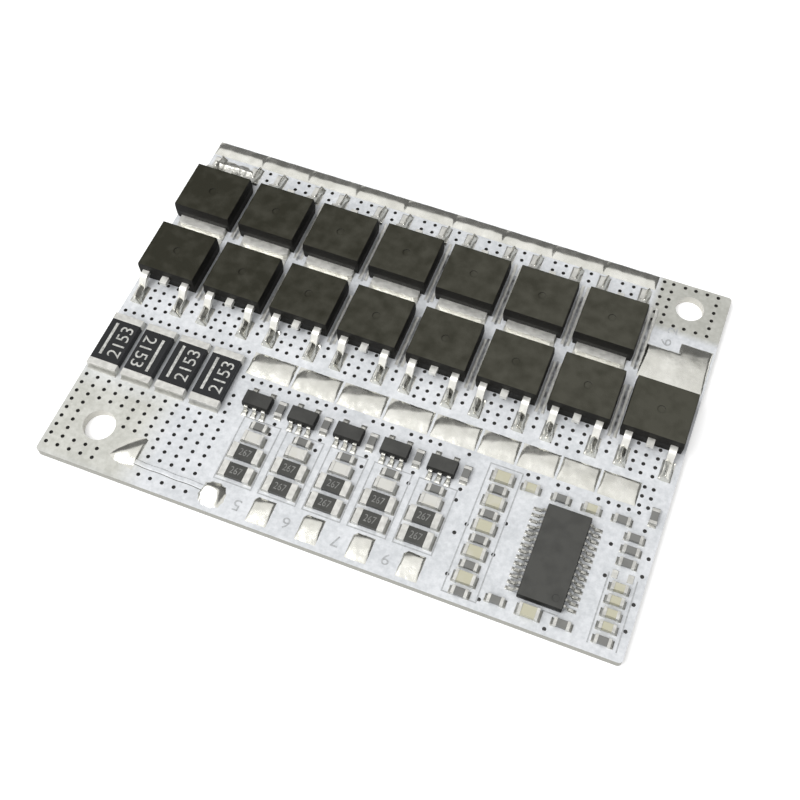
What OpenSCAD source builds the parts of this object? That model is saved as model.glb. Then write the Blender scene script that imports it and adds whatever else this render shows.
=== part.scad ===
// Battery management board for five lithium cells in series, 60 x 42 mm.
// Surface-mounted power transistors, current shunts, cell balancing chips and a controller
// sit on tinned lands on one laminate board. X runs along the board, Y to its back edge and
// Z up. The origin is the centre of the board's underside.

/* [Board] */
// Length of the board, left to right
board_length = 60; // [59:0.5:80]
// Depth of the board, front to back
board_depth = 42; // [41.5:0.5:60]
// Thickness of the laminate
board_thickness = 1; // [0.6:0.1:2]
// Radius of the board's corners
corner_radius = 0.4; // [0.1:0.1:2]
// Thickness of the tinned copper lands
land_thickness = 0.1; // [0.05:0.01:0.2]
// How far a land reaches past the terminal that it carries
land_margin = 0.25; // [0.1:0.05:0.3]

/* [Vias] */
// Diameter of the plated via holes
via_diameter = 0.4; // [0.2:0.05:0.5]
// Distance between vias across the board's depth
via_pitch = 1.02; // [0.9:0.01:1.03]
// Distance between via columns in the battery negative corner
via_column_pitch = 1.275; // [1.1:0.005:1.28]
// Distance from the board's side edge to the first via column
via_edge_inset = 0.55; // [0.4:0.05:0.8]

/* [Mounting holes] */
// Diameter of the front left mounting hole
front_hole_diameter = 3.3; // [2.5:0.1:4.5]
// Distance of the front left hole from the board's left and front edges
front_hole_inset = 4.6; // [3.5:0.1:6]
// Diameter of the back right mounting hole
back_hole_diameter = 3; // [2:0.1:3.4]
// Distance of the back right hole from the board's right edge
back_hole_inset_x = 3.9; // [3:0.1:4.2]
// Distance of the back right hole from the board's back edge
back_hole_inset_y = 2.85; // [2.4:0.05:4]
// Bare ring kept free of vias round each mounting hole
hole_keepout = 0.45; // [0.3:0.05:1]

/* [Power transistors] */
// Width of a transistor's moulded body
fet_width = 6.5; // [5.6:0.1:6.8]
// Length of the moulded body, from its leads to its tab
fet_length = 6.1; // [5:0.1:6.3]
// Height of the moulded body
fet_height = 2.3; // [1.9:0.1:3]
// Draft angle of the moulded walls
fet_draft = 6; // [2:1:12]
// Gap between the left board edge and the first body
fet_left_margin = 0.15; // [0.1:0.05:0.4]
// Gap between the last body and the right board edge
fet_right_margin = 0.35; // [0.2:0.05:0.5]
// Gap between the output bus and the lead lands of the back row
fet_bus_gap = 0.3; // [0.1:0.05:1]
// Gap between the tab lands of the two rows
fet_tab_gap = 0.1; // [0.05:0.05:0.5]
// Width of the metal tab
tab_width = 5.3; // [4.4:0.1:5.5]
// How far the tab reaches out of the body
tab_reach = 0.9; // [0.6:0.05:1.1]
// Thickness of tab and leads
fet_metal = 0.5; // [0.4:0.05:0.6]
// Width of a lead
fet_lead_width = 0.76; // [0.5:0.02:0.9]
// Distance between the two outer leads
fet_lead_spread = 4.58; // [4.2:0.01:5]
// How far the outer leads reach out of the body
fet_lead_reach = 2.8; // [2.6:0.05:2.9]
// Length of the flat foot of an outer lead
fet_foot = 1.4; // [1:0.05:1.5]
// Height of the lead's underside where it leaves the body
fet_lead_height = 1; // [0.8:0.05:1.2]
// How far the cut middle lead reaches out of the body
fet_stub_reach = 0.8; // [0.5:0.05:1]
// Radius of the round mark left by the mould's ejector pin
ejector_radius = 0.4; // [0.3:0.05:1]

/* [Current shunts] */
// Length of a shunt between its ends
shunt_length = 6.4; // [5.8:0.1:6.6]
// Width of a shunt
shunt_width = 3.2; // [2.4:0.1:3.4]
// Height of a shunt
shunt_height = 0.8; // [0.5:0.05:1.2]
// Distance between neighbouring shunts
shunt_pitch = 3.82; // [3.75:0.01:3.86]
// Gap between the left board edge and the first shunt
shunt_margin = 0.3; // [0.1:0.05:0.4]

/* [Cell channels] */
// Length of a balancing chip's body
chip_length = 2.9; // [2.4:0.1:3]
// Width of a balancing chip's body
chip_width = 1.6; // [1.2:0.1:1.7]
// Height of a balancing chip's body
chip_height = 1.1; // [0.9:0.05:1.3]
// Length of a balance resistor
balance_length = 3.2; // [2.6:0.1:3.3]
// Width of a balance resistor
balance_width = 1.6; // [1.2:0.1:1.7]
// Height of a balance resistor
balance_height = 0.55; // [0.4:0.05:0.8]

/* [Controller] */
// Width of the controller's body, without its leads
controller_width = 4.4; // [3.6:0.1:4.6]
// Length of the controller's body
controller_length = 9.7; // [9.4:0.1:9.8]
// Height of the controller's body
controller_height = 1; // [0.8:0.05:1.3]
// Number of leads on each side
controller_leads_per_side = 14; // [8:1:14]
// Distance between leads
controller_lead_pitch = 0.65; // [0.5:0.05:0.65]
// Distance from the board's right edge to the middle of the controller
controller_inset = 8.75; // [8.6:0.05:8.9]
// Distance from the controller to the left support column
left_column_offset = 7.2; // [6.4:0.1:7.6]
// Distance from the controller to the right support column
right_column_offset = 6.5; // [6:0.1:7]
// Distance between the chips behind the controller
top_row_pitch = 3.05; // [2.5:0.05:3.1]
// Distance between the chips in front of the controller
bottom_row_pitch = 3.2; // [2.8:0.05:3.3]

/* [Chip resistors and capacitors] */
// Length of a small chip
small_chip_length = 1.6; // [1.3:0.1:1.7]
// Width of a small chip
small_chip_width = 0.8; // [0.6:0.05:0.9]
// Length of a large chip capacitor
large_chip_length = 2; // [1.7:0.1:2.1]
// Width of a large chip capacitor
large_chip_width = 1.15; // [0.9:0.05:1.25]
// Height of a chip resistor
resistor_height = 0.45; // [0.35:0.05:0.6]
// Height of a chip capacitor
capacitor_height = 0.7; // [0.5:0.05:0.9]

/* [Solder] */
// Depth of the bus along the back edge
output_bus_depth = 1.85; // [1.2:0.05:1.9]
// Number of solder pools along the back edge
output_bus_pools = 9; // [4:1:12]
// Depth of the bus across the middle
middle_bus_depth = 2.65; // [2:0.05:2.7]
// Gap of solder mask between neighbouring pools
pool_gap = 0.25; // [0.15:0.05:0.6]
// Height of the solder on the buses
bus_rise = 0.4; // [0.2:0.05:0.8]
// Width of a cell tap
tap_width = 2.15; // [1.6:0.05:2.6]
// Depth of a cell tap
tap_depth = 2.7; // [2:0.05:2.8]
// How much wider the hand-soldered first tap is
first_tap_extra = 0.6; // [0:0.1:1]
// Height of the solder on a cell tap
tap_rise = 0.4; // [0.2:0.05:0.8]
// How far the battery negative pad reaches from its point to its wide end
battery_pad_length = 2.85; // [2:0.05:3.2]
// Width of the battery negative pad at its wide end
battery_pad_width = 3.7; // [2.4:0.1:4]
// Depth of the discharge pad behind the last transistor
discharge_depth = 4.1; // [3:0.1:4.4]
// Height of the solder on the discharge and battery pads
pad_rise = 0.5; // [0.2:0.05:1]

/* [Hidden] */
FETS_FRONT = 8;
FETS_BACK = 7;
SHUNTS = 4;
CHANNELS = 5;
$fn = 48;

// ---- Spacing ----

function sum(list) = len(list) == 0 ? 0 : list * [for (x = list) 1];

// Middles of items laid one after another from lo to hi. The room that they leave is shared
// out in the proportions of gaps, which has one entry more than there are items.
function spread(lo, hi, sizes, gaps) =
    let(share = (hi - lo - sum(sizes)) / sum(gaps))
    [for (i = [0 : len(sizes) - 1])
        lo + share * sum([for (k = [0 : i]) gaps[k]])
        + sum([for (k = [0 : 1 : i - 1]) sizes[k]]) + sizes[i] / 2];

function repeated(list, times) = [for (i = [1 : times]) each list];

// ---- Heights and edges ----

board_top = board_thickness;
seat = board_top + land_thickness;
left = -board_length / 2;
right = board_length / 2;
front = -board_depth / 2;
back = board_depth / 2;
front_hole = [left + front_hole_inset, front + front_hole_inset];
back_hole = [right - back_hole_inset_x, back - back_hole_inset_y];
mask_gap = 0.05;

// ---- Power transistors: the back row faces backwards and the front row forwards, tab to tab ----

foot_land_width = fet_lead_width + 0.4;
foot_land_margin = land_margin + 0.15;
fet_pitch = (board_length - fet_left_margin - fet_right_margin - fet_width) / (FETS_FRONT - 1);
fet_first_x = left + fet_left_margin + fet_width / 2;
fet_foot_end = fet_length / 2 + fet_lead_reach + foot_land_margin;
fet_back_y = back - mask_gap - output_bus_depth - fet_bus_gap - fet_foot_end;
fet_front_y = fet_back_y - fet_length - 2 * (tab_reach + land_margin) - fet_tab_gap;
feet_front = fet_front_y - fet_foot_end;
fet_lead_mid = fet_lead_height + fet_metal / 2;
fet_bend = 0.35;
fet_inner = 0.9;
ejector_depth = 0.08;

// ---- Current shunts, between the front left hole and the transistors' feet ----

shunt_cap = 0.75;
shunt_x0 = left + shunt_margin + shunt_width / 2;
shunts_right = shunt_x0 + (SHUNTS - 1) * shunt_pitch + shunt_width / 2;
shunt_land_end = shunt_length / 2 + land_margin;
shunt_y = spread(front_hole.y + front_hole_diameter / 2 + hole_keepout, feet_front,
                 [2 * shunt_land_end], [3.25, 1.95])[0];

// ---- Controller and the support columns beside it ----

controller_x = right - controller_inset;
left_column_x = controller_x - left_column_offset;
right_column_x = controller_x + right_column_offset;
controller_lead = [0.24, 0.15];
controller_lead_reach = 1;
controller_foot = 0.55;
small_cap = 0.2 * small_chip_length;
plating = 0.04;
standoff = 0.06;

// ---- Cell channels, from the front edge up to the transistors' feet ----

chip_lead = [0.4, 0.15];
chip_pin_pitch = 0.95;
chip_lead_reach = 0.6;
chip_foot = 0.35;
balance_cap = 0.65;
chip_span = chip_width + 2 * (chip_lead_reach + land_margin);
channel_y = spread(front, feet_front,
    [tap_depth, balance_width, balance_width, large_chip_width, small_chip_width, chip_span,
     middle_bus_depth],
    [0.5, 0.65, 0.5, 0.375, 0.425, 0.35, 1.275, 0.925]);
tap_y = channel_y[0];
chip_y = channel_y[5];
middle_bus_y = channel_y[6];
middle_bus_front = middle_bus_y - middle_bus_depth / 2;

// The channels lie between the shunts and the left support column
channels_right = left_column_x - large_chip_length / 2 - land_margin;
chip_row_x = spread(shunts_right, channels_right, repeated([chip_length, small_chip_width], CHANNELS),
                    concat([2.07], repeated([0.5, 0.73], CHANNELS - 1), [0.5, 1.85]));
balance_x = spread(shunts_right, channels_right,
                   repeated([balance_length + 2 * land_margin], CHANNELS),
                   concat([2.86], repeated([0.97], CHANNELS - 1), [2.6]));
tap_x = spread(shunts_right, channels_right,
               concat([tap_width + first_tap_extra], repeated([tap_width], CHANNELS - 1)),
               concat([2.05, 2.68], repeated([2.98], CHANNELS - 2), [2.82]));

// Rows and columns of chips round the controller, up to the middle bus
controller_rows = spread(front, middle_bus_front,
                         [large_chip_width, controller_length, small_chip_width],
                         [0.925, 0.375, 0.75, 1.525]);
controller_y = controller_rows[1];
left_column_y = spread(front, middle_bus_front, repeated([small_chip_width, large_chip_width], 5),
                       concat([0.66], repeated([0.39], 9), [1.3]));
right_column_y = spread(front, controller_rows[2] - small_chip_width / 2,
                        repeated([small_chip_width], 9), concat([0.94], repeated([0.52], 8), [0.6]));

// ---- Solder ----

output_bus_right = right - 8;
middle_bus_left = shunts_right + 0.5;
middle_bus_right = right - 3;
middle_bus_split = chip_row_x[2 * CHANNELS - 1];
discharge_x = fet_first_x + (FETS_FRONT - 1) * fet_pitch;
discharge_y = fet_front_y + fet_length / 2 + tab_reach + land_margin + mask_gap;
battery_pad = [front_hole.x + front_hole_diameter / 2 + 0.85, front + 2.1];
battery_pad_low = -0.22 * battery_pad_width;
battery_pad_high = battery_pad_low + battery_pad_width;

// ---- Placing: each place is [x, y, turn] ----

function fet_place(i) = i <= FETS_BACK
    ? [fet_first_x + (i - 1) * fet_pitch, fet_back_y, 180]
    : [fet_first_x + (i - FETS_BACK - 1) * fet_pitch, fet_front_y, 0];

function shunt_place(i) = [shunt_x0 + (i - 1) * shunt_pitch, shunt_y, 90];

function chip_place(i) = [chip_row_x[2 * (i - 1)], chip_y, 0];

function balance_places() = [for (y = [channel_y[1], channel_y[2]]) for (x = balance_x) [x, y, 0]];

function top_row_place(k) = [left_column_x + 2.9 + k * top_row_pitch, controller_rows[2], 0];

function bottom_row_place(k) = [controller_x - 3.85 + k * bottom_row_pitch, controller_rows[0], 0];

function resistor_places() = concat(
    [for (i = [0 : CHANNELS - 1]) [chip_row_x[2 * i + 1], chip_y + 0.15, 90]],
    [for (x = balance_x) [x, channel_y[4], 0]],
    [for (k = [0 : 2 : 8]) [left_column_x, left_column_y[k], 0]],
    [for (k = [0, 6, 7, 8]) [right_column_x, right_column_y[k], 0]],
    [for (k = [1, 3]) top_row_place(k)],
    [for (k = [0, 2]) bottom_row_place(k)],
    [[right - 1.1, middle_bus_front - 0.525, 90]]);

function small_capacitor_places() = concat(
    [for (k = [1 : 4]) [right_column_x, right_column_y[k], 0]],
    [for (k = [0, 2]) top_row_place(k)]);

// Lands that carry no chip
spare_place = [right_column_x, right_column_y[5], 0];

function large_capacitor_places() = concat(
    [for (x = balance_x) [x, channel_y[3], 0]],
    [for (k = [1 : 2 : 9]) [left_column_x, left_column_y[k], 0]],
    [bottom_row_place(1)]);

module at(place, z = seat) {
    translate([place.x, place.y, z]) rotate(place.z) children();
}

// ---- Shapes ----

module block(size) {
    translate([-size.x / 2, -size.y / 2, 0]) cube(size);
}

// Solid whose cross-section across X is the polygon of [y, z] points
module along_x(points, width) {
    rotate([90, 0, 90]) translate([0, 0, -width / 2]) linear_extrude(width) polygon(points);
}

function unit(v) = v / norm(v);
function normal(v) = [-v.y, v.x];
function turned(v, a) = [v.x * cos(a) - v.y * sin(a), v.x * sin(a) + v.y * cos(a)];

// Points of a strip's middle line, each with its normal, with every bend rounded
function bend(before, corner, after, radius, steps) =
    let(a = unit(corner - before), b = unit(after - corner),
        turn = atan2(a.x * b.y - a.y * b.x, a.x * b.x + a.y * b.y),
        side = turn > 0 ? 1 : -1,
        centre = corner - a * radius * tan(abs(turn) / 2) + normal(a) * radius * side)
    [for (k = [0 : steps])
        let(n = turned(normal(a), turn * k / steps)) [centre - n * radius * side, n]];

function middle_line(path, radius, steps) = concat(
    [[path[0], normal(unit(path[1] - path[0]))]],
    [for (i = [1 : len(path) - 2]) each bend(path[i - 1], path[i], path[i + 1], radius, steps)],
    [[path[len(path) - 1], normal(unit(path[len(path) - 1] - path[len(path) - 2]))]]);

// Outline of a metal strip of the given thickness bent along a path
function strip(path, thickness, radius, steps = 4) =
    let(line = middle_line(path, radius, steps), last = len(line) - 1)
    concat([for (s = line) s[0] + s[1] * thickness / 2],
           [for (i = [last : -1 : 0]) line[i][0] - line[i][1] * thickness / 2]);

// Gull-wing lead that leaves a wall at y = 0 towards -Y and stands on z = 0
module gull_wing(width, thickness, leave, reach, foot, shoulder, inside, radius) {
    low = thickness / 2;
    path = [[inside, leave], [-shoulder, leave], [-(reach - foot), low], [-reach, low]];
    along_x(strip(path, thickness, radius), width);
}

// Moulded body whose four walls lean in above and below the parting line
module moulded_body(size, parting, draft, corner) {
    lean = tan(draft);
    function profile(width) = [[-width / 2 + parting * lean, 0], [width / 2 - parting * lean, 0],
        [width / 2, parting], [width / 2 - (size.z - parting) * lean, size.z],
        [-width / 2 + (size.z - parting) * lean, size.z], [-width / 2, parting]];
    x = size.x / 2;
    y = size.y / 2;
    intersection() {
        along_x(profile(size.y), size.x);
        rotate([90, 0, 0]) translate([0, 0, -y]) linear_extrude(size.y) polygon(profile(size.x));
        linear_extrude(size.z) polygon([[-x + corner, -y], [x - corner, -y], [x, -y + corner],
            [x, y - corner], [x - corner, y], [-x + corner, y], [-x, y - corner], [-x, -y + corner]]);
    }
}

// Core of a chip part: a slab inside its two end caps, with a coat between them
module chip_core(size, cap, coat) {
    translate([0, 0, plating])
        block([size.x - 2 * plating, size.y - 2 * plating, size.z - 2 * plating]);
    if (coat) translate([0, 0, size.z - plating]) block([size.x - 2 * cap, size.y - 2 * plating, plating]);
}

// Plated caps round both ends of the core
module chip_caps(size, cap) {
    difference() {
        for (side = [-1, 1]) translate([side * (size.x - cap) / 2, 0, 0]) block([cap, size.y, size.z]);
        chip_core(size, cap, false);
    }
}

// The two lands under a chip part
module chip_lands(size, cap) {
    for (side = [-1, 1])
        translate([side * (size.x / 2 - cap / 2 + land_margin / 2), 0, 0])
            block([cap + land_margin, size.y, land_thickness]);
}

// Half-round rise from 0 up to the crest at x = run, then level as far as x = reach
module pool_profile(rise, run, reach) {
    radius = (run * run + rise * rise) / (2 * rise);
    intersection() {
        translate([run, rise - radius]) circle(radius, $fn = 96);
        square([run, rise]);
    }
    if (reach > run) translate([run, 0]) square([reach - run, rise]);
}

// Solder drawn up over a convex pad: points run anticlockwise, and from each edge the
// surface climbs over the distance run
module solder_pool(points, rise, run) {
    reach = max([for (p = points) for (q = points) norm(p - q)]) + run;
    intersection_for(i = [0 : len(points) - 1]) {
        a = points[i];
        b = points[(i + 1) % len(points)];
        middle = (a + b) / 2;
        translate([middle.x, middle.y, 0]) rotate(atan2(b.y - a.y, b.x - a.x))
            translate([-reach, 0, 0]) rotate([90, 0, 90])
                linear_extrude(2 * reach) pool_profile(rise, run, reach);
    }
}

function pad(x, y, width, depth) = [[x - width / 2, y - depth / 2], [x + width / 2, y - depth / 2],
                                    [x + width / 2, y + depth / 2], [x - width / 2, y + depth / 2]];

// Row of equal pools that fills a bus from x0 to x1, with mask between them
module pool_row(x0, x1, y, depth, pools, rise) {
    pitch = (x1 - x0) / pools;
    for (i = [0 : pools - 1]) translate([0, 0, board_top])
        solder_pool(pad(x0 + (i + 0.5) * pitch, y, pitch - pool_gap, depth), rise, depth / 2);
}

// ---- Vias ----

function clear_of(p, hole, diameter) =
    norm(p - hole) > diameter / 2 + hole_keepout + via_diameter / 2;

// Spots that lie on the board and clear of both mounting holes
function drillable(points) = [for (p = points)
    if (clear_of(p, front_hole, front_hole_diameter) && clear_of(p, back_hole, back_hole_diameter)
        && abs(p.x) < right - via_diameter && abs(p.y) < back - via_diameter) p];

// The battery negative pad and the wide trace that leaves it
function on_battery_pad(p) =
    let(d = p - battery_pad)
    (d.x > -0.2 && d.x < battery_pad_length + 0.35
        && d.y > battery_pad_low - 0.6 && d.y < battery_pad_high - 0.1) ||
    (d.x > 0 && abs(d.y - 0.3) < 0.5);

battery_via_x = left + via_edge_inset;
battery_via_y = shunt_y - shunt_land_end - 0.6;

function battery_vias() = [
    for (i = [0 : floor((shunts_right + 0.95 - battery_via_x) / via_column_pitch)])
    for (k = [0 : floor((battery_via_y - front - 0.6) / via_pitch)])
    let(p = [battery_via_x + i * via_column_pitch, battery_via_y - k * via_pitch])
    if (!on_battery_pad(p)) p];

function shunt_vias() = concat(
    [for (i = [0 : floor((shunts_right - left - 0.6) / via_pitch)])
        [left + 0.6 + i * via_pitch, shunt_y + shunt_land_end + 0.75]],
    [for (k = [0 : 2]) [shunts_right + 0.65, shunt_y - 1 - k * via_pitch]]);

function front_field_y(k) = fet_front_y - fet_length / 2 - 0.07 - k * via_pitch;

function back_field_y(k) = back - output_bus_depth - 0.45 - k * via_pitch;

function transistor_vias() = concat(
    [for (i = [1 : FETS_FRONT]) for (x = [-1.05, 0, 1.2]) for (k = [0 : 3])
        [fet_place(FETS_BACK + i).x + x, front_field_y(k)]],
    [for (i = [1 : FETS_FRONT - 1]) for (k = [1, 2])
        [fet_place(FETS_BACK + i).x + fet_pitch / 2, front_field_y(k)]],
    [for (i = [2 : FETS_BACK]) for (x = [-0.3, 0.95]) for (k = [0, 1])
        [fet_place(i).x + x, back_field_y(k)]],
    [for (i = [1 : FETS_BACK - 1]) for (k = [0, 1])
        [fet_place(i).x + fet_pitch / 2, back_field_y(k)]]);

function back_hole_vias() = [for (x = [-3.4, -2.4, -1.1, 0.05, 1.3, 2.5]) for (k = [0 : 5])
    [back_hole.x + x, back_hole.y + 2.4 - k * via_pitch]];

// Runs of [first, count] along the front of the middle bus, and three rows at its pale end
function middle_bus_vias() = concat(
    [for (run = [[0, 12], [14, 3], [18, 4], [24, 1], [30, 2], [33, 2], [37, 5]])
        for (k = [run[0] : run[0] + run[1] - 1])
            [middle_bus_left + 0.15 + k * via_pitch, middle_bus_front - 0.5]],
    [for (x = [0.2, 1.1]) for (k = [0 : 2])
        [middle_bus_right + x, middle_bus_y + 1 - k * via_pitch]]);

function channel_vias() = [for (i = [1 : CHANNELS]) for (y = [-1.4, -2.6])
    [chip_row_x[2 * i - 1], chip_y + y]];

// Single vias round the controller, from its middle
function controller_vias() = [for (v = [[-8.9, 0.4], [-9.7, -0.8], [-8.9, -4.9], [-5.4, 1.8],
        [-5.5, -1.6], [-5.3, -6.2], [1.2, -6.7], [4.55, 3.4], [4.9, 0.2], [8.3, 3.2], [8.2, 1.3],
        [8.2, -1.6], [8.2, -4.3], [7.2, 5.8]]) [controller_x, controller_y] + v];

module vias() {
    for (p = drillable(concat(battery_vias(), shunt_vias(), transistor_vias(), back_hole_vias(),
                              middle_bus_vias(), channel_vias(), controller_vias())))
        translate([p.x, p.y, -1]) cylinder(d = via_diameter, h = board_thickness + 2, $fn = 16);
}

// ---- Board and lands ----

module board() {
    color("#dfe2e2") difference() {
        linear_extrude(board_thickness) {
            square([board_length - 2 * corner_radius, board_depth], center = true);
            square([board_length, board_depth - 2 * corner_radius], center = true);
            for (x = [-1, 1], y = [-1, 1])
                translate([x * (right - corner_radius), y * (back - corner_radius)])
                    circle(corner_radius);
        }
        translate([front_hole.x, front_hole.y, -1])
            cylinder(d = front_hole_diameter, h = board_thickness + 2);
        translate([back_hole.x, back_hole.y, -1])
            cylinder(d = back_hole_diameter, h = board_thickness + 2);
        vias();
    }
}

module transistor_lands() {
    y = fet_length / 2;
    tab_front = fet_inner + 1.1 - y;
    translate([0, (tab_front + y + tab_reach + land_margin) / 2, 0])
        block([tab_width + land_margin, y + tab_reach + land_margin - tab_front, land_thickness]);
    for (side = [-1, 1])
        translate([side * fet_lead_spread / 2, -y - fet_lead_reach + fet_foot / 2, 0])
            block([foot_land_width, fet_foot + 2 * foot_land_margin, land_thickness]);
}

module balance_chip_lands() {
    for (x = [-1, 0, 1]) translate([x * chip_pin_pitch, -chip_land_y(), 0]) chip_lead_land();
    for (x = [-1, 1]) translate([x * chip_pin_pitch, chip_land_y(), 0]) chip_lead_land();
}

function chip_land_y() = chip_width / 2 + chip_lead_reach - chip_foot / 2 + land_margin / 2;

module chip_lead_land() {
    block([chip_lead.x + 0.2, chip_foot + land_margin, land_thickness]);
}

module controller_lands() {
    x = controller_width / 2 + controller_lead_reach - controller_foot / 2 + land_margin / 2;
    for (side = [-1, 1]) for (y = controller_lead_rows())
        translate([side * x, y, 0])
            block([controller_foot + land_margin, controller_lead.x + 0.1, land_thickness]);
}

function controller_lead_rows() = [for (k = [0 : controller_leads_per_side - 1])
    (k - (controller_leads_per_side - 1) / 2) * controller_lead_pitch];

module solder_lands() {
    color("#d9d7cb") {
        for (i = [1 : FETS_FRONT + FETS_BACK]) at(fet_place(i), board_top) transistor_lands();
        for (i = [1 : SHUNTS]) at(shunt_place(i), board_top)
            chip_lands([shunt_length, shunt_width, shunt_height], shunt_cap);
        for (i = [1 : CHANNELS]) at(chip_place(i), board_top) balance_chip_lands();
        at([controller_x, controller_y, 0], board_top) controller_lands();
        for (p = balance_places()) at(p, board_top) chip_lands(balance_size, balance_cap);
        for (p = concat(resistor_places(), [spare_place])) at(p, board_top)
            chip_lands(resistor_size, small_cap);
        for (p = small_capacitor_places()) at(p, board_top) chip_lands(small_capacitor_size, small_cap);
        for (p = large_capacitor_places()) at(p, board_top) chip_lands(large_capacitor_size, small_cap);
    }
}

// ---- Solder on the buses and pads ----

module output_bus_solder() {
    color("#cfcfc9")
        pool_row(left + mask_gap, output_bus_right, back - mask_gap - output_bus_depth / 2,
                 output_bus_depth, output_bus_pools, bus_rise);
}

module middle_bus_solder() {
    color("#dddbd0") {
        pool_row(middle_bus_left, middle_bus_split, middle_bus_y, middle_bus_depth, 5, bus_rise);
        pool_row(middle_bus_split, middle_bus_right, middle_bus_y, middle_bus_depth, 4, bus_rise);
    }
}

module cell_tap_solder() {
    color("#d6d4c8") translate([0, 0, board_top]) {
        for (i = [1 : CHANNELS - 1])
            solder_pool(pad(tap_x[i], tap_y, tap_width, tap_depth), tap_rise, tap_width / 2);
        solder_pool(pad(tap_x[0], tap_y, tap_width + first_tap_extra, tap_depth), 2 * tap_rise,
                    tap_width / 2);
    }
}

module battery_negative_solder() {
    color("#cfcfc9") translate([battery_pad.x, battery_pad.y, board_top])
        solder_pool([[0, 0], [battery_pad_length, battery_pad_low],
                     [battery_pad_length, battery_pad_high]], pad_rise, 0.7);
}

module discharge_solder() {
    width = fet_width + 0.3;
    step = 1.25;
    color("#dddbd0") translate([discharge_x, discharge_y, board_top]) {
        solder_pool(pad(0, discharge_depth / 2, width, discharge_depth), pad_rise, 1.6);
        solder_pool(pad(width / 4, (discharge_depth + step) / 2, width / 2, discharge_depth + step),
                    pad_rise, 1.6);
    }
}

// ---- Power transistors ----

// Tab with its cut middle lead, and the two outer leads, seen with the leads towards -Y
module transistor_leadframe_shape() {
    y = fet_length / 2;
    low = fet_metal / 2;
    tab_front = fet_inner + 1.1;
    chamfer = 0.35;
    linear_extrude(fet_metal) polygon([[-tab_width / 2, -y + tab_front], [tab_width / 2, -y + tab_front],
        [tab_width / 2, y + tab_reach - chamfer], [tab_width / 2 - chamfer, y + tab_reach],
        [-tab_width / 2 + chamfer, y + tab_reach], [-tab_width / 2, y + tab_reach - chamfer]]);
    translate([0, -y, 0])
        along_x(strip([[tab_front + 0.4, low], [tab_front - 0.1, low], [tab_front - 0.9, fet_lead_mid],
                       [-fet_stub_reach, fet_lead_mid]], fet_metal, fet_bend), fet_lead_width);
    for (side = [-1, 1]) translate([side * fet_lead_spread / 2, -y, 0])
        gull_wing(fet_lead_width, fet_metal, fet_lead_mid, fet_lead_reach, fet_foot,
                  0.55, fet_inner, fet_bend);
}

module transistor_body(i) {
    color("#3c3b34") at(fet_place(i)) difference() {
        moulded_body([fet_width, fet_length, fet_height], fet_lead_mid, fet_draft, 0.15);
        transistor_leadframe_shape();
        translate([0, 0, fet_height - ejector_depth]) cylinder(r = ejector_radius, h = 1);
    }
}

module transistor_leadframe(i) {
    color("#c9c6b8") at(fet_place(i)) transistor_leadframe_shape();
}

// ---- Current shunts ----

module shunt_body(i) {
    color("#26262a") at(shunt_place(i)) chip_core([shunt_length, shunt_width, shunt_height], shunt_cap, true);
}

module shunt_terminals(i) {
    color("#c9c6b8") at(shunt_place(i)) chip_caps([shunt_length, shunt_width, shunt_height], shunt_cap);
}

// ---- Balancing chips ----

module balance_chip_lead() {
    translate([0, -chip_width / 2, 0])
        gull_wing(chip_lead.x, chip_lead.y, standoff + chip_height / 2, chip_lead_reach, chip_foot,
                  0.14, 0.3, 0.09);
}

module balance_chip_lead_set() {
    for (x = [-1, 0, 1]) translate([x * chip_pin_pitch, 0, 0]) balance_chip_lead();
    for (x = [-1, 1]) rotate(180) translate([x * chip_pin_pitch, 0, 0]) balance_chip_lead();
}

module balance_chip_body(i) {
    color("#4a4a48") at(chip_place(i)) difference() {
        translate([0, 0, standoff])
            moulded_body([chip_length, chip_width, chip_height], chip_height / 2, 8, 0.05);
        balance_chip_lead_set();
    }
}

module balance_chip_leads() {
    color("#c9c6b8") for (i = [1 : CHANNELS]) at(chip_place(i)) balance_chip_lead_set();
}

// ---- Controller ----

module controller_lead_set() {
    for (side = [0, 180]) rotate(side) for (y = controller_lead_rows())
        translate([controller_width / 2, y, 0]) rotate(90)
            gull_wing(controller_lead.x, controller_lead.y, standoff + controller_height / 2,
                      controller_lead_reach, controller_foot, 0.2, 0.4, 0.1);
}

module controller_body() {
    color("#5a5a56") at([controller_x, controller_y, 0]) difference() {
        translate([0, 0, standoff])
            moulded_body([controller_width, controller_length, controller_height],
                         controller_height / 2, 8, 0.08);
        controller_lead_set();
        translate([controller_width / 2 - 0.9, -controller_length / 2 + 0.9,
                   standoff + controller_height - 0.05])
            cylinder(r = 0.35, h = 1);
    }
}

module controller_leads() {
    color("#c9c6b8") at([controller_x, controller_y, 0]) controller_lead_set();
}

// ---- Chip resistors and capacitors ----

balance_size = [balance_length, balance_width, balance_height];
resistor_size = [small_chip_length, small_chip_width, resistor_height];
small_capacitor_size = [small_chip_length, small_chip_width, capacitor_height];
large_capacitor_size = [large_chip_length, large_chip_width, capacitor_height];

module balance_resistor_bodies() {
    color("#3a3a3a") for (p = balance_places()) at(p) chip_core(balance_size, balance_cap, true);
}

module balance_resistor_terminals() {
    color("#d2d0c6") for (p = balance_places()) at(p) chip_caps(balance_size, balance_cap);
}

module chip_resistor_bodies() {
    color("#55555a") for (p = resistor_places()) at(p) chip_core(resistor_size, small_cap, true);
}

module chip_resistor_terminals() {
    color("#d2d0c6") for (p = resistor_places()) at(p) chip_caps(resistor_size, small_cap);
}

module chip_capacitor_bodies() {
    color("#c3bfa8") {
        for (p = small_capacitor_places()) at(p) chip_core(small_capacitor_size, small_cap, false);
        for (p = large_capacitor_places()) at(p) chip_core(large_capacitor_size, small_cap, false);
    }
}

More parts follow.
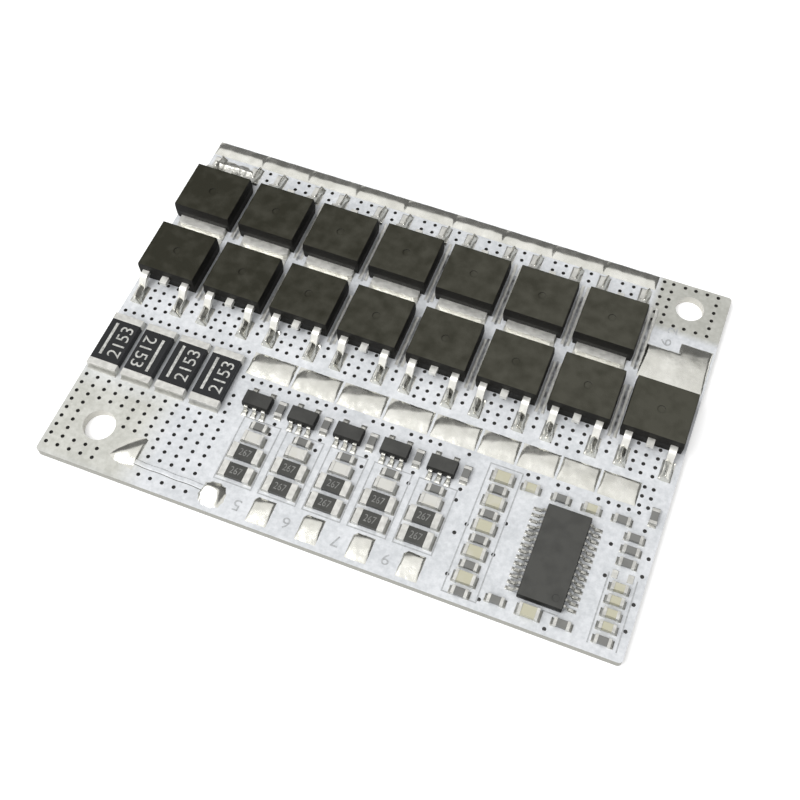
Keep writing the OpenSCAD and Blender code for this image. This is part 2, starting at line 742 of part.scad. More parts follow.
module chip_capacitor_terminals() {
    color("#d2d0c6") {
        for (p = small_capacitor_places()) at(p) chip_caps(small_capacitor_size, small_cap);
        for (p = large_capacitor_places()) at(p) chip_caps(large_capacitor_size, small_cap);
    }
}

board();
solder_lands();
output_bus_solder();
middle_bus_solder();
cell_tap_solder();
battery_negative_solder();
discharge_solder();
for (i = [1 : FETS_FRONT + FETS_BACK]) {
    transistor_body(i);
    transistor_leadframe(i);
}
for (i = [1 : SHUNTS]) {
    shunt_body(i);
    shunt_terminals(i);
}
for (i = [1 : CHANNELS])
    balance_chip_body(i);
balance_chip_leads();
controller_body();
controller_leads();
balance_resistor_bodies();
balance_resistor_terminals();
chip_resistor_bodies();
chip_resistor_terminals();
chip_capacitor_bodies();
chip_capacitor_terminals();
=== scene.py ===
# %% [markdown]
# # Battery management board
#
# A battery management board watches five lithium cells in series and switches their current.
# The solid model of its parts is already made, so this lesson dresses it: each part gets the
# finish of its real material, and the things that are too fine for the solid model are added.
# These are the hand-run solder, the small solder fillets, the raised track under the white
# solder mask and the printed marks.
#
# Everything is in metres. X runs along the board, Y to its back edge and Z up.

import math

import bpy
import numpy as np
from mathutils import Matrix, Vector, geometry


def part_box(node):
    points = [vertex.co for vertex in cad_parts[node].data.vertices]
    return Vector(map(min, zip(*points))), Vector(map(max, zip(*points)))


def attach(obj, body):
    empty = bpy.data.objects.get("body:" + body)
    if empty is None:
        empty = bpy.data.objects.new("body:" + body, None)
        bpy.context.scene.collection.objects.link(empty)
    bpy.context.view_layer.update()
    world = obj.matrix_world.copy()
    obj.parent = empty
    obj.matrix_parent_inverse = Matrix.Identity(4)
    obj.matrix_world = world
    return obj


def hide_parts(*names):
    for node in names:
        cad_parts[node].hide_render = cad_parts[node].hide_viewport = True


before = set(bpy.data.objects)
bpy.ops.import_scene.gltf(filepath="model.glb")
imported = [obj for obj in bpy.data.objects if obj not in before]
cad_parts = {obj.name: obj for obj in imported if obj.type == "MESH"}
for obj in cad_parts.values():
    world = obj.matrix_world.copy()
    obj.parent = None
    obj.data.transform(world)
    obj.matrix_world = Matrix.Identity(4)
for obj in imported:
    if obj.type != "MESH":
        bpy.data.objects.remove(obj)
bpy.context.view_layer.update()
MM = 0.001

print("nodes:", len(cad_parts))

# %% [markdown]
# ## The camera
#
# The board is seen from the front right and from above, with a lens a little longer than
# normal. The camera could be aimed with a constraint, but a constraint can't hold the small
# roll that a hand-held camera has. So its three axes go straight into its matrix. The frame is
# a little off the lens axis, which the sensor's shift gives.

# %% Camera
def place_camera(position, forward, up, focal_length, shift):
    """A camera at a position in millimetres, with its lens in millimetres too."""
    camera = bpy.data.objects.new("camera", bpy.data.cameras.new("camera"))
    camera.data.sensor_width = 36
    camera.data.lens = focal_length
    camera.data.shift_x, camera.data.shift_y = shift
    camera.data.clip_start = 0.001
    backward = -Vector(forward).normalized()
    right = Vector(up).cross(backward).normalized()
    upward = backward.cross(right)
    turn = Matrix((right, upward, backward)).transposed()
    camera.matrix_world = Matrix.Translation(Vector(position) * MM) @ turn.to_4x4()
    bpy.context.scene.collection.objects.link(camera)
    bpy.context.scene.camera = camera


FORWARD = (-0.1599, 0.4474, -0.8799)
place_camera((22.98, -52.78, 101.12), FORWARD, (-0.3156, 0.8214, 0.4750), 50.72,
             (-0.0434, 0.0009))
bpy.context.view_layer.update()
print("camera looks down at", round(math.degrees(math.asin(-FORWARD[2])), 1), "degrees")

# %% [markdown]
# ## Nodes, colours and sizes
#
# A finish is a tree of shader nodes. One function adds any node, sets it and links it. Colours
# are written as the hex values that a paint chart gives, and one function turns them into the
# linear values that a shader works in. A pattern's scale is the number of its cells in a metre,
# so it is worked out from the size of one cell in millimetres.

# %% Helpers for finishes
def linear(hex_colour):
    """Linear RGBA from an sRGB hex colour."""
    def channel(text):
        c = int(text, 16) / 255
        return c / 12.92 if c <= 0.04045 else ((c + 0.055) / 1.055) ** 2.4
    return tuple(channel(hex_colour[i:i + 2]) for i in (1, 3, 5)) + (1.0,)


def cells(size_mm):
    """Scale of a pattern whose cells are size_mm across."""
    return 1 / (size_mm * MM)


def feed(tree, node, inputs):
    """Gives sockets a number, a hex colour or what feeds them: an output, or a node, which
    feeds from its first output. Nodes such as Mix hide the sockets of their other modes under
    the same names, so only the sockets in use are looked at."""
    for name, value in inputs.items():
        if isinstance(name, str):
            name = next(i for i, s in enumerate(node.inputs) if s.name == name and s.enabled)
        if isinstance(value, bpy.types.Node):
            value = next(output for output in value.outputs if output.enabled)
        if isinstance(value, bpy.types.NodeSocket):
            tree.links.new(value, node.inputs[name])
        else:
            value = linear(value) if isinstance(value, str) else value
            node.inputs[name].default_value = value


def add(tree, kind, inputs=None, **settings):
    """Adds a node, sets its own properties and feeds its sockets."""
    node = tree.nodes.new(kind)
    for name, value in settings.items():
        setattr(node, name, value)
    feed(tree, node, inputs or {})
    return node


def new_finish(name, roughness, metallic=0.0, ior=1.5, specular=0.5):
    """A material with its shader. The single numbers are set on the shader's own sockets."""
    material = bpy.data.materials.new(name)
    material.use_nodes = True
    tree = material.node_tree
    shader = tree.nodes["Principled BSDF"]
    feed(tree, shader, {"Roughness": roughness, "Metallic": metallic, "IOR": ior,
                        "Specular IOR Level": specular})
    place = add(tree, "ShaderNodeTexCoord").outputs["Object"]
    return material, tree, shader, place


def mottle(tree, place, size_mm, low, high, detail=2.0):
    """Soft noise with cells of size_mm, from low to high."""
    noise = add(tree, "ShaderNodeTexNoise",
                {"Vector": place, "Scale": cells(size_mm), "Detail": detail})
    return add(tree, "ShaderNodeMapRange", {"Value": noise, "From Min": 0.3, "From Max": 0.7,
                                            "To Min": low, "To Max": high})


def roughen(tree, shader, heights, depth_mm, edge_mm=0.0):
    """Bump depth_mm deep, on edges rounded to edge_mm."""
    inputs = {"Height": heights, "Distance": depth_mm * MM, "Strength": 1.0}
    if edge_mm:
        inputs["Normal"] = add(tree, "ShaderNodeBevel", {"Radius": edge_mm * MM}, samples=4)
    feed(tree, shader, {"Normal": add(tree, "ShaderNodeBump", inputs)})


print("mid grey #808080 is", round(linear("#808080")[0], 3), "linear")

# %% [markdown]
# ## White solder mask
#
# The board is glass-fibre laminate under a white epoxy ink, the solder mask. The ink is a
# little translucent: over copper it looks warmer and darker, and over bare laminate it looks
# cooler. A picture could be painted for that, but soft-edged boxes, placed from the parts that
# stand on the copper, stay sharp at any size.

# %% Solder mask and the copper under it
def soft_box(tree, xyz, low, high, soft_mm):
    """1 inside the box from low to high in X and Y, in millimetres, and 0 outside."""
    inside = None
    for axis in (0, 1):
        for edge, sign in ((low[axis], 1), (high[axis], -1)):
            step = add(tree, "ShaderNodeMapRange", {"Value": xyz.outputs[axis],
                       "From Min": (edge - sign * soft_mm) * MM,
                       "From Max": (edge + sign * soft_mm) * MM})
            inside = step if inside is None else add(tree, "ShaderNodeMath",
                                                     {0: inside, 1: step}, operation="MINIMUM")
    return inside


def corners_of(name):
    """Lowest and highest corner of a CAD node, in millimetres."""
    return (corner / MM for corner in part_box(name))


board_low, board_high = corners_of("board")
shunts_low, shunts_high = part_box("shunt_1_terminals")[0] / MM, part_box("shunt_4_terminals")[1] / MM
FRONT_HOLE, FRONT_HOLE_RADIUS = Vector((board_low.x + 4.6, board_low.y + 4.6)), 1.65
BACK_HOLE, BACK_HOLE_RADIUS = Vector((board_high.x - 3.9, board_high.y - 2.85)), 1.5

mask, tree, shader, place = new_finish("white_epoxy_solder_mask", 0.34, ior=1.52)
xyz = add(tree, "ShaderNodeSeparateXYZ", {0: place})
cloud = add(tree, "ShaderNodeMath", {0: mottle(tree, place, 2.5, -0.1, 0.6, detail=4),
            1: mottle(tree, place, 0.4, -0.2, 0.7, detail=3)}, operation="ADD")
bare = add(tree, "ShaderNodeMix", {"Factor": cloud, "A": "#c8cbce", "B": "#dee0e3"},
           data_type="RGBA")
coppered = add(tree, "ShaderNodeMix", {"Factor": cloud, "A": "#b9b9b1", "B": "#cecec7"},
               data_type="RGBA")
# The ink lies over copper at the front left, up to the shunts, and round the back hole
copper = soft_box(tree, xyz, (board_low.x - 1, board_low.y - 1),
                  (shunts_high.x - 5, shunts_low.y - 0.5), 1.6)
hole_corner = soft_box(tree, xyz, (BACK_HOLE.x - 3.8, BACK_HOLE.y - 3.4),
                       (board_high.x + 1, board_high.y + 1), 0.4)
copper = add(tree, "ShaderNodeMath", {0: copper, 1: hole_corner}, operation="MAXIMUM")
colour = add(tree, "ShaderNodeMix", {"Factor": copper, "A": bare, "B": coppered},
             data_type="RGBA")
# Painted shade darkens the ink in the back hole's corner
shade = add(tree, "ShaderNodeMath", {0: hole_corner, 1: 0.25}, operation="MULTIPLY")
# Painted shade that darkens the ink is listed with its colour, and goes over it at the end
painted_shades = [(shade, "#6f6f68")]
# Screen-printed ink dries with a faint orange peel about half a millimetre across
roughen(tree, shader, mottle(tree, place, 0.5, 0.0, 1.0), 0.006)
print("mask over a board of", round(board_high.x - board_low.x, 1), "mm")

# %% [markdown]
# ## Painted shade in the trenches and between the leads
#
# Two kinds of fine dark line are painted on the mask as painted shade. Between two columns of
# transistors the copper of each stops, which leaves a narrow trench. It has no depth that shows,
# so the shade in it is a dark line in the colour. Between the fine leads of the controller, the
# shade falls in stripes, which are painted in the colour too. One helper draws lines of equal
# pitch, and soft boxes end them.

# %% Painted shade in the trenches between the columns
def lines(tree, coordinate, start, pitch, full, none):
    """1 up to full from the middle of each line, and 0 from none on. The first line is half a
    pitch past start. All in millimetres."""
    past = add(tree, "ShaderNodeMath", {0: coordinate, 1: start * MM}, operation="SUBTRACT")
    past = add(tree, "ShaderNodeMath", {0: past, 1: pitch * MM}, operation="MODULO")
    past = add(tree, "ShaderNodeMath", {0: past, 1: pitch / 2 * MM}, operation="SUBTRACT")
    away = add(tree, "ShaderNodeMath", {0: past}, operation="ABSOLUTE")
    return add(tree, "ShaderNodeMapRange", {"Value": away, "From Min": full * MM,
               "From Max": none * MM, "To Min": 1.0, "To Max": 0.0})


COLUMN_GAPS = 7
column_1, column_2 = (sum(v.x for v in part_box(f"transistor_{n}_body")) / 2 / MM for n in (8, 9))
PITCH = column_2 - column_1
rows = [[v.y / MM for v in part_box(f"transistor_{n}_body")] for n in (8, 1)]
# Painted shade: a dark line along the middle of each trench between the columns
narrow = lines(tree, xyz.outputs[0], column_1 - PITCH, PITCH, 0.09, 0.15)
trench_shade = None
for low, high in rows:
    span = soft_box(tree, xyz, (column_1, low - 0.6),
                    (column_1 + COLUMN_GAPS * PITCH, high - 0.1), 0.05)
    span = add(tree, "ShaderNodeMath", {0: span, 1: narrow}, operation="MULTIPLY")
    trench_shade = span if trench_shade is None else add(tree, "ShaderNodeMath", {0: trench_shade, 1: span},
                                             operation="MAXIMUM")
broken = mottle(tree, place, 0.7, 0.35, 1.0, detail=1)
trench_shade = add(tree, "ShaderNodeMath", {0: trench_shade, 1: broken}, operation="MULTIPLY")
painted_shades.append((trench_shade, "#4c4c49"))
print("trenches every", round(PITCH, 2), "mm")

# %% [markdown]
# The leads stand above the board, so from the front each hides a slanting strip of it. The
# stripes of painted shade lean too, by a fifth of their distance from the controller's middle, so
# that they show between the leads.

# %% Painted shade between the controller's leads
leads_low, leads_high = corners_of("controller_leads")
body_low, body_high = corners_of("controller_body")
LEAD_GAPS, LEAD_WIDTH = 13, 0.25
lead_pitch = (leads_high.y - leads_low.y - LEAD_WIDTH) / LEAD_GAPS
aside = add(tree, "ShaderNodeMath", {0: xyz.outputs[0], 1: (body_low.x + body_high.x) / 2 * MM},
            operation="SUBTRACT")
aside = add(tree, "ShaderNodeMath", {0: aside}, operation="ABSOLUTE")
slant = add(tree, "ShaderNodeMath", {0: aside, 1: -0.2}, operation="MULTIPLY")
leant = add(tree, "ShaderNodeMath", {0: xyz.outputs[1], 1: slant}, operation="SUBTRACT")
stripes = lines(tree, leant, leads_low.y + 1.05 - 9.5 * lead_pitch, lead_pitch, 0.08, 0.2)
left_side = soft_box(tree, xyz, (leads_low.x, leads_low.y), (body_low.x, leads_high.y - 2), 0.06)
right_side = soft_box(tree, xyz, (body_high.x + 0.5, leads_low.y + 1),
                      (leads_high.x + 0.1, leads_high.y), 0.06)
sides = add(tree, "ShaderNodeMath", {0: left_side, 1: right_side}, operation="MAXIMUM")
# Painted shade: dark stripes between the leads on both sides of the controller
lead_shade = add(tree, "ShaderNodeMath", {0: stripes, 1: sides}, operation="MULTIPLY")
lead_shade = add(tree, "ShaderNodeMath", {0: lead_shade, 1: mottle(tree, place, 0.9, 0.25, 1.0)},
           operation="MULTIPLY")
painted_shades.append((lead_shade, "#3d3c37"))
print("flux stripes every", round(lead_pitch, 2), "mm")

# %% [markdown]
# ## Walls of the board
#
# A wall of the board is cut laminate at the outline and pale in the two mounting holes. In each
# via it is the plated barrel, painted dark grey as painted shade inside the narrow hole. The part
# is one solid with one finish, so the direction of the surface and its distance from the outline
# and the holes choose between the three.

# %% Walls
WALL_DEPTH, HALF_THICKNESS, HOLE_MARGIN = 0.12, 0.5, 0.55
direction = add(tree, "ShaderNodeSeparateXYZ",
                {0: add(tree, "ShaderNodeNewGeometry").outputs["True Normal"]})
upright = add(tree, "ShaderNodeMath", {0: direction.outputs["Z"]}, operation="ABSOLUTE")
wall = add(tree, "ShaderNodeMath", {0: upright, 1: 0.5}, operation="LESS_THAN")
within = soft_box(tree, xyz, (board_low.x + WALL_DEPTH, board_low.y + WALL_DEPTH),
                  (board_high.x - WALL_DEPTH, board_high.y - WALL_DEPTH), 0.01)
in_vias = within
for hole, radius in ((FRONT_HOLE, FRONT_HOLE_RADIUS), (BACK_HOLE, BACK_HOLE_RADIUS)):
    centre = (hole.x * MM, hole.y * MM, HALF_THICKNESS * MM)
    gap = add(tree, "ShaderNodeVectorMath", {0: place, 1: centre}, operation="DISTANCE")
    clear = add(tree, "ShaderNodeMath", {0: gap, 1: (radius + HOLE_MARGIN) * MM},
                operation="GREATER_THAN")
    in_vias = add(tree, "ShaderNodeMath", {0: in_vias, 1: clear}, operation="MULTIPLY")
wall_colour = add(tree, "ShaderNodeMix", {"Factor": within, "A": "#8e8d84", "B": "#d9d7cf"},
                  data_type="RGBA")
# Painted shade: the walls of the vias are dark grey
wall_colour = add(tree, "ShaderNodeMix", {"Factor": in_vias, "A": wall_colour, "B": "#4a4843"},
                  data_type="RGBA")
for amount, over in painted_shades + [(wall, wall_colour)]:
    colour = add(tree, "ShaderNodeMix", {"Factor": amount, "A": colour, "B": over},
                 data_type="RGBA")
feed(tree, shader, {"Base Color": colour})
print("mask made from", len(tree.nodes), "nodes")

# %% [markdown]
# ## Tin and solder
#
# Six kinds of tin show here. All are metals, so they keep the default IOR, and only their
# colour, their roughness and the size of their grain and waves tell them apart. One image of
# metal could serve all six, but the eye knows them by how sharply they mirror the studio, so
# each is built from the same clouds, waves and grain at its own sizes.

# %% Tin and solder
def tin_finish(name, dull, bright, roughness, cloud_mm, wave, grain):
    """Tin whose clouds go from dull to bright. wave and grain are each a size across and a
    depth in millimetres."""
    material, tree, shader, place = new_finish(name, roughness, metallic=1.0)
    cloud = mottle(tree, place, cloud_mm, 0.0, 1.0, detail=3)
    spread = mottle(tree, place, cloud_mm * 0.6, max(0.05, roughness - 0.08), roughness + 0.1)
    colour = add(tree, "ShaderNodeMix", {"Factor": cloud, "A": dull, "B": bright},
                 data_type="RGBA")
    feed(tree, shader, {"Base Color": colour, "Roughness": spread})
    (wave_mm, wave_depth), (grain_mm, grain_depth) = wave, grain
    waves = mottle(tree, place, wave_mm, 0.0, wave_depth / grain_depth)
    heights = add(tree, "ShaderNodeMath", {0: waves, 1: mottle(tree, place, grain_mm, 0.0, 1.0)},
                  operation="ADD")
    roughen(tree, shader, heights, grain_depth, edge_mm=0.04)
    return material


# Lands are levelled in hot air: smooth and bright, with slow waves
levelled_tin = tin_finish("hot_air_levelled_tin", "#d2d1ca", "#e6e5df", 0.38, 1.2,
                          wave=(0.9, 0.02), grain=(0.12, 0.002))
# Hand-run solder is the shiniest, and flux clouds it
run_solder = tin_finish("hand_run_solder", "#d3d2ca", "#e9e8e1", 0.24, 1.8,
                        wave=(1.3, 0.012), grain=(0.10, 0.001))
# Leads and tabs are plated with matt tin, whose fine grain spreads the light
matt_tin = tin_finish("matt_tin_plated_copper", "#e4e3dd", "#f6f5f0", 0.50, 0.8,
                      wave=(0.6, 0.006), grain=(0.08, 0.003))
# The caps of chip parts are plated in a turning barrel, which leaves them a little uneven
cap_tin = tin_finish("barrel_plated_tin_cap", "#cfcec9", "#e6e5e0", 0.45, 0.5,
                     wave=(0.5, 0.01), grain=(0.10, 0.004))
# Paste that was melted in the oven sets greyer and duller than solder from an iron
reflowed_tin = tin_finish("reflowed_solder_paste", "#a9a8a2", "#c9c8c2", 0.40, 0.6,
                          wave=(0.5, 0.015), grain=(0.12, 0.004))
# Fine leads are cut and bent after they are plated, so they are patchy, and their darker
# tin is a painted dark reflection
fine_lead_tin = tin_finish("tin_on_fine_leads", "#a5a49d", "#d4d3cd", 0.34, 0.3,
                           wave=(0.4, 0.02), grain=(0.10, 0.003))
print("tins made:", levelled_tin.name, run_solder.name, matt_tin.name, cap_tin.name)

# %% [markdown]
# ## Black mouldings, glazes and ceramic
#
# The transistors and chips are moulded from epoxy filled with ground silica. The mould is
# spark-eroded, which leaves a matt grain about 0.06 mm across. That is too fine to show at this
# distance, so it is drawn at 0.15 mm. The shunts have a smoother black coat, the chip resistors
# a dark glass glaze, and the capacitors are bare fired ceramic. The colour drifts along the
# board. On the transistors this is a painted sheen, lighter towards the right, and the other
# mouldings and glazes also get lighter towards the right. The capacitors change from pale to
# beige ceramic. The walls of the transistors and chips are painted darker, as painted shade,
# because they see less of the sky.

# %% Mouldings, glazes and ceramic
def moulding_finish(name, left, right, roughness, grain, edge_mm, specular, wall=None,
                    span=None):
    """Left and right are the colours at the two ends of the board, or at the two X in span,
    in millimetres. grain is a size across and a depth. wall is the colour of the sides, painted
    darker as painted shade."""
    material, tree, shader, place = new_finish(name, roughness, ior=1.55, specular=specular)
    along = add(tree, "ShaderNodeSeparateXYZ", {0: place}).outputs["X"]
    start, end = span or (board_low.x, board_high.x)
    # Painted sheen: the colour drifts from left to right, lighter towards the right on the
    # transistors
    drift_and_sheen = add(tree, "ShaderNodeMapRange", {"Value": along, "From Min": start * MM,
                                             "From Max": end * MM})
    tone = add(tree, "ShaderNodeMath", {0: drift_and_sheen, 1: mottle(tree, place, 1.6, -0.35, 0.35,
               detail=3)}, operation="ADD")
    colour = add(tree, "ShaderNodeMix", {"Factor": tone, "A": left, "B": right},
                 data_type="RGBA")
    # Painted shade: the sides, which see less of the sky, take the darker wall colour
    if wall:
        normal = add(tree, "ShaderNodeNewGeometry").outputs["True Normal"]
        upward = add(tree, "ShaderNodeSeparateXYZ", {0: normal}).outputs["Z"]
        on_top = add(tree, "ShaderNodeMath", {0: upward, 1: 0.7}, operation="GREATER_THAN")
        colour = add(tree, "ShaderNodeMix", {"Factor": on_top, "A": wall, "B": colour},
                     data_type="RGBA")
    feed(tree, shader, {"Base Color": colour})
    grain_mm, grain_depth = grain
    roughen(tree, shader, mottle(tree, place, grain_mm, 0.0, 1.0, detail=1), grain_depth, edge_mm)
    return material


# Silica makes the epoxy matt, so the mouldings look dry and a little brown
# Lighter towards the right as a painted sheen, and its walls painted darker as painted shade
transistor_epoxy = moulding_finish("silica_filled_epoxy", "#27261b", "#46453c", 0.62,
                                   (0.15, 0.008), 0.18, specular=0.2, wall="#12110d")
# Small chips are moulded from a finer, greyer grade
chip_epoxy = moulding_finish("fine_silica_filled_epoxy", "#333331", "#494946", 0.60,
                             (0.12, 0.005), 0.05, specular=0.3, wall="#1a1a18")
# The shunts' coat is the blackest thing on the board
shunt_coat = moulding_finish("black_shunt_coat", "#1b1c1e", "#222326", 0.50, (0.20, 0.005), 0.06,
                             specular=0.3)
# Glass glaze is smoother than epoxy, so it catches a little more of the sky
resistor_glaze = moulding_finish("dark_resistor_glaze", "#3e3e3b", "#4b4b48", 0.45,
                                 (0.20, 0.003), 0.05, specular=0.3)
small_glaze = moulding_finish("grey_glaze_of_small_resistors", "#6b6b68", "#7c7c79", 0.45,
                              (0.20, 0.003), 0.05, specular=0.3)
# The capacitors of the balance channels are pale, and those round the controller are beige
fired_ceramic = moulding_finish("fired_capacitor_ceramic", "#cfcec8", "#bdbaa3", 0.50,
                                (0.20, 0.003), 0.06, specular=0.4, span=(10, 12))
print("dark finishes and ceramic made:", transistor_epoxy.name, chip_epoxy.name,
      shunt_coat.name, resistor_glaze.name, small_glaze.name, fired_ceramic.name)

# %% [markdown]
# ## Give each part its finish
#
# Each part comes from model.glb with one material slot, so the finish is chosen from the slot
# and not part by part. Only the small resistors and the fine leads differ from what shares their
# slot.

# %% Finishes for the solid model
FINISHES = {
    "solder_mask": mask,
    "tinned_land": levelled_tin,
    "solder": run_solder,
    "moulding_compound": transistor_epoxy,
    "tinned_leadframe": matt_tin,
    "shunt_coat": shunt_coat,
    "plated_terminal": cap_tin,
    "chip_compound": chip_epoxy,
    "resistor_glass": resistor_glaze,
    "capacitor_ceramic": fired_ceramic,
}
BY_NODE = {"chip_resistor_bodies": small_glaze, "balance_chip_leads": fine_lead_tin,
           "controller_leads": fine_lead_tin}
for name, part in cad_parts.items():
    slot = part.material_slots[0].material.name.split(".")[0]
    part.material_slots[0].material = BY_NODE.get(name, FINISHES[slot])
print("parts with a finish:", len(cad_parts))

# %% [markdown]
# ## Finding the pieces inside a node
#
# One node of the solid model can hold many solids, such as all the lands. The solder has to
# follow each one, so this helper splits a node's mesh into its separate solids and gives the
# box of each. Blender can do it by editing, but the mesh must stay as it is, so the points are
# grouped here instead: faces that share a point belong to one solid.

# %% Solids of a node
def solids_in(name):
    """Box of each solid of a CAD node, as (low, high) in millimetres."""
    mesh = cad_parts[name].data
    points = np.empty(len(mesh.vertices) * 3)
    mesh.vertices.foreach_get("co", points)
    points = points.reshape(-1, 3) / MM
    _, same = np.unique(np.round(points, 4), axis=0, return_inverse=True)
    group = np.arange(same.max() + 1)
    corners = np.empty(len(mesh.loops), int)
    mesh.loops.foreach_get("vertex_index", corners)
    corners = same.reshape(-1)[corners].reshape(-1, 3)
    while True:
        lowest = group[corners].min(1)
        before = group.copy()
        for k in range(3):
            np.minimum.at(group, corners[:, k], lowest)
        group = group[group]
        if (before == group).all():
            break
    label = group[same.reshape(-1)]
    return [(Vector(points[label == g].min(0)), Vector(points[label == g].max(0)))
            for g in np.unique(label)]


def from_left(solids):
    return sorted(solids, key=lambda solid: solid[0].x)


def width(solid):
    return solid[1].x - solid[0].x


lands = solids_in("solder_lands")
BOARD_TOP = board_high.z
SEAT = lands[0][1].z
print("lands:", len(lands), "with their tops at", round(SEAT, 3), "mm")

# %% [markdown]
# ## Making a piece
#
# New pieces are meshes made from points and faces. Each one rides on the board and takes a
# finish. Solder and ridges are mostly grids of points, whose faces one helper gives.

# %% Mesh helpers
def make_piece(name, points, faces, finish, slot, replaces=(), smooth=True):
    """A piece from points in millimetres."""
    mesh = bpy.data.meshes.new(name)
    mesh.from_pydata([tuple(c * MM for c in p) for p in points], [], faces)
    mesh.validate()
    if smooth:
        mesh.shade_smooth()
    piece = bpy.data.objects.new(name, mesh)
    bpy.context.scene.collection.objects.link(piece)
    mesh.materials.append(finish)
    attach(piece, "root")
    if replaces:
        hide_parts(*replaces)
    print(name, "with", len(mesh.polygons), "faces")


def joined(parts):
    """One (points, faces) from many."""
    points, faces = [], []
    for some_points, some_faces in parts:
        start = len(points)
        points += [tuple(p) for p in some_points]
        faces += [tuple(start + i for i in face) for face in some_faces]
    return points, faces


def grid_points(x, y, z):
    return list(zip(x.ravel(), y.ravel(), z.ravel()))


def grid_faces(columns, rows):
    """Faces of a grid whose points are listed column by column."""
    return [(i * rows + j, (i + 1) * rows + j, (i + 1) * rows + j + 1, i * rows + j + 1)
            for i in range(columns - 1) for j in range(rows - 1)]


# New solder lies a hair above the faces of the solid model, so that the two don't flicker
HAIR, POOL_HAIR = 0.004, 0.005
print("new solder starts", HAIR, "mm above the board")

# %% [markdown]
# ## Hand-run solder
#
# The thick tracks are strengthened with solder that is melted on by hand. Each pool wets its
# bare copper right to the edge and bulges in between, and no two are alike. A subdivided box
# would look moulded, and a fluid simulation is more than this needs. So each pool is a height
# field: its outline is filled with points and triangles, and every point is raised by its
# distance from the outline, with slow unevenness from the hand that ran it.

# %% Outline of a pool
def outline_points(corners, step, wander, rng):
    """Points along a closed outline, step apart, each moved in or out a little."""
    points = []
    phase = rng.uniform(0, 2 * math.pi, 3)
    for a, b in zip(corners, corners[1:] + corners[:1]):
        a, b = Vector(a), Vector(b)
        side = (b - a).orthogonal().normalized()
        count = max(2, round((b - a).length / step))
        for k in range(count):
            t = k / count
            fade = min(1.0, 4 * min(t, 1 - t))
            drift = sum(math.sin(phase[n] + (n + 1) * 2.3 * (b - a).length * t) / (n + 1)
                        for n in range(3))
            points.append(a.lerp(b, t) + side * drift * wander * fade)
    return points


def from_outline(points, outline, steep=1.0):
    """Distance of each point from a closed outline, times how steep each side of it is, and
    whether the point lies inside."""
    a = np.array(outline)
    b = np.roll(a, -1, axis=0)
    p = points[:, None, :]
    t = np.clip(((p - a) * (b - a)).sum(2) / ((b - a) ** 2).sum(1), 0, 1)
    distance = (np.linalg.norm(p - (a + t[..., None] * (b - a)), axis=2) * steep).min(1)
    crosses = (a[:, 1] > p[..., 1]) != (b[:, 1] > p[..., 1])
    rise = np.where(b[:, 1] == a[:, 1], 1e-9, b[:, 1] - a[:, 1])
    where = a[:, 0] + (p[..., 1] - a[:, 1]) * (b[:, 0] - a[:, 0]) / rise
    return distance, (crosses & (p[..., 0] < where)).sum(1) % 2 == 1


trial = from_outline(np.array([[0.5, 0.4]]), [(0, 0), (1, 0), (1, 1), (0, 1)])
print("a point 0.4 mm from the edge of a square is", round(float(trial[0][0]), 2), "mm away")

# %% [markdown]
# The surface of a pool is the lower of two surfaces, joined smoothly: its level top, and the
# climb from its outline. Solder that was drawn along with the iron has a crest, and falls away
# behind it. That side turns from the open sky to the dark back of the studio, which gives each
# pool its dark zone.

# %% Surface of a pool
def pool(corners, rise, rng, crests=(), fall=0.12, front=0.15, sides=1.0, right=1.3,
         wander=0.015, waves=0.006, step=0.12):
    """Solder over a pad whose corners run anticlockwise. It is level at rise and runs out to
    the front, the sides and the right with those slopes. Behind each crest, a line from one
    point to another with the back on its left, it falls away more and more steeply."""
    outline = outline_points(corners, step, wander, rng)
    low, high = np.min(outline, 0), np.max(outline, 0)
    x, y = np.meshgrid(np.arange(low[0], high[0], step), np.arange(low[1], high[1], step))
    inner = np.column_stack([x.ravel(), y.ravel()]) + rng.uniform(-0.2, 0.2, (x.size, 2)) * step
    distance, inside = from_outline(inner, outline)
    inner = inner[inside & (distance > step * 0.5)]
    flat = outline + [Vector(p) for p in inner]
    flat, _, faces, *_ = geometry.delaunay_2d_cdt(flat, [], [range(len(outline))], 1, 1e-6)
    flat = np.array(flat)
    phase = rng.uniform(0, 2 * math.pi, 4)
    slow = np.sin(1.9 * flat[:, 0] + phase[0]) * np.sin(2.3 * flat[:, 1] + phase[1])
    quick = np.sin(4.7 * flat[:, 0] + phase[2] + 2 * flat[:, 1])
    height = rise + waves * (slow + 0.4 * quick - 1.4)
    for start, end, *own_fall in crests:
        way = np.array(end) - np.array(start)
        behind = (flat - np.array(start)) @ np.array([-way[1], way[0]]) / np.linalg.norm(way)
        behind += 0.05 * np.sin(2.6 * flat[:, 0] + phase[3])
        behind = 0.5 * (behind + np.hypot(behind, 0.10))
        height -= (own_fall or [fall])[0] * behind * (1 + 0.22 * behind)
    way = np.roll(outline, -1, axis=0) - np.array(outline)
    out = np.column_stack([way[:, 1], -way[:, 0]]) / np.linalg.norm(way, axis=1)[:, None]
    steep = front + sides * (np.maximum(0, -out[:, 0]) + 1.2 * np.maximum(0, out[:, 1])) \
        + right * np.maximum(0, out[:, 0])
    climb, _ = from_outline(flat, outline, steep)
    height = 0.5 * (height + climb - np.hypot(height - climb, 0.05))
    height = np.clip(height, 0.0, rise)
    return [(*p, BOARD_TOP + POOL_HAIR + h) for p, h in zip(flat, height)], faces


def rectangle(low, high):
    return [(low.x, low.y), (high.x, low.y), (high.x, high.y), (low.x, high.y)]


bus_low, bus_high = corners_of("middle_bus_solder")
# The solids have an even crown, and an uneven pool needs only part of their height
BUS_RISE = 0.55 * (bus_high.z - BOARD_TOP)
print("bus pools rise", round(BUS_RISE, 2), "mm")

